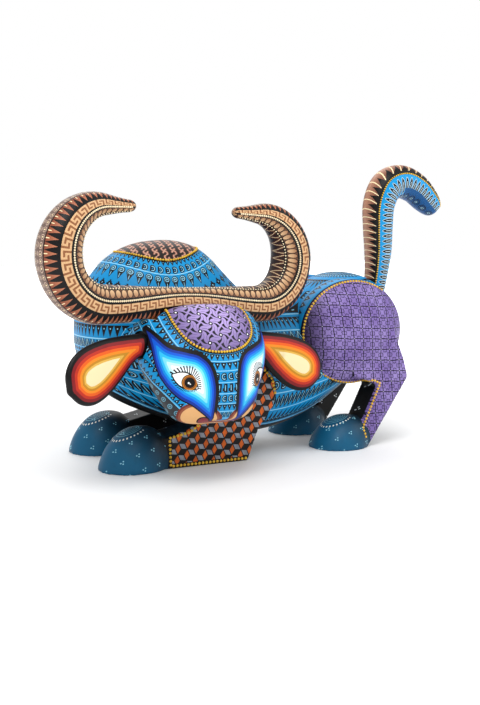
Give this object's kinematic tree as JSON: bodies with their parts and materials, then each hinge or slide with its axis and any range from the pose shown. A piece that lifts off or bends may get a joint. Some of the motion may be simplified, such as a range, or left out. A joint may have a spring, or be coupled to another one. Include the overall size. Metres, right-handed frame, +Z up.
{
  "type": "carved animal figure",
  "caption": "Carved and painted wooden bull that crouches with its head turned, with lift-off horns and pegged, turning ears and tail.",
  "frame": {"origin": "on the floor under the middle of the whole figure's box", "axes": "the bull faces -X, its left side is -Y, +Z is up"},
  "size_m": [0.3556, 0.169, 0.2118],
  "materials": {
    "body_paint": "satin acrylic paint, azure with fine black and pale blue motifs",
    "head_paint": "satin acrylic paint, azure with a purple forehead and banded eye masks",
    "horn_paint": "satin acrylic paint, tan, brown and cream key bands",
    "ear_paint": "satin acrylic paint, concentric black, red, orange, yellow and cream",
    "tail_paint": "satin acrylic paint, azure with a red-brown spiked edge",
    "front_leg_paint": "satin acrylic paint, black with orange and grey cubes, teal hoof",
    "hind_leg_paint": "satin acrylic paint, purple with black lines, teal hoof",
    "bare_wood": "unfinished turned wood"
  },
  "bodies": {
    "root": {"torso": "body_paint", "head": "head_paint", "front_leg_left": "front_leg_paint", "front_leg_right": "front_leg_paint", "hind_leg_left": "hind_leg_paint", "hind_leg_right": "hind_leg_paint", "horn_pegs": "bare_wood", "neck_dowel": "bare_wood", "front_leg_left_dowels": "bare_wood", "front_leg_right_dowels": "bare_wood", "hind_leg_left_dowels": "bare_wood", "hind_leg_right_dowels": "bare_wood"},
    "horns": {"horns": "horn_paint"},
    "ear_left_peg": {"ear_peg_left": "bare_wood"},
    "ear_left": {"ear_left": "ear_paint"},
    "ear_right_peg": {"ear_peg_right": "bare_wood"},
    "ear_right": {"ear_right": "ear_paint"},
    "tail_peg": {"tail_peg": "bare_wood"},
    "tail": {"tail": "tail_paint"}
  },
  "joints": [
    {"name": "horns_lift", "type": "slide", "parent": "root", "child": "horns", "axis": [0.0444, 0.0094, 0.999], "range_m": [0, 0.025]},
    {"name": "ear_left_pull", "type": "slide", "parent": "root", "child": "ear_left_peg", "axis": [0.9738, 0.207, 0.0941], "range_m": [0, 0.015]},
    {"name": "ear_left_turn", "type": "hinge", "parent": "ear_left_peg", "child": "ear_left", "pos_m": [-0.02455, -0.02821, 0.08605], "axis": [0.9738, 0.207, 0.0941], "range_deg": [-12, 12]},
    {"name": "ear_right_pull", "type": "slide", "parent": "root", "child": "ear_right_peg", "axis": [-0.9615, -0.2044, 0.1839], "range_m": [0, 0.015]},
    {"name": "ear_right_turn", "type": "hinge", "parent": "ear_right_peg", "child": "ear_right", "pos_m": [-0.10956, -0.04628, 0.09], "axis": [-0.9615, -0.2044, 0.1839], "range_deg": [-12, 12]},
    {"name": "tail_pull", "type": "slide", "parent": "root", "child": "tail_peg", "axis": [0, 0, 1], "range_m": [0, 0.02]},
    {"name": "tail_turn", "type": "hinge", "parent": "tail_peg", "child": "tail", "pos_m": [0.11664, 0.03035, 0.11], "axis": [0, 0, 1], "range_deg": [-25, 25]}
  ]
}
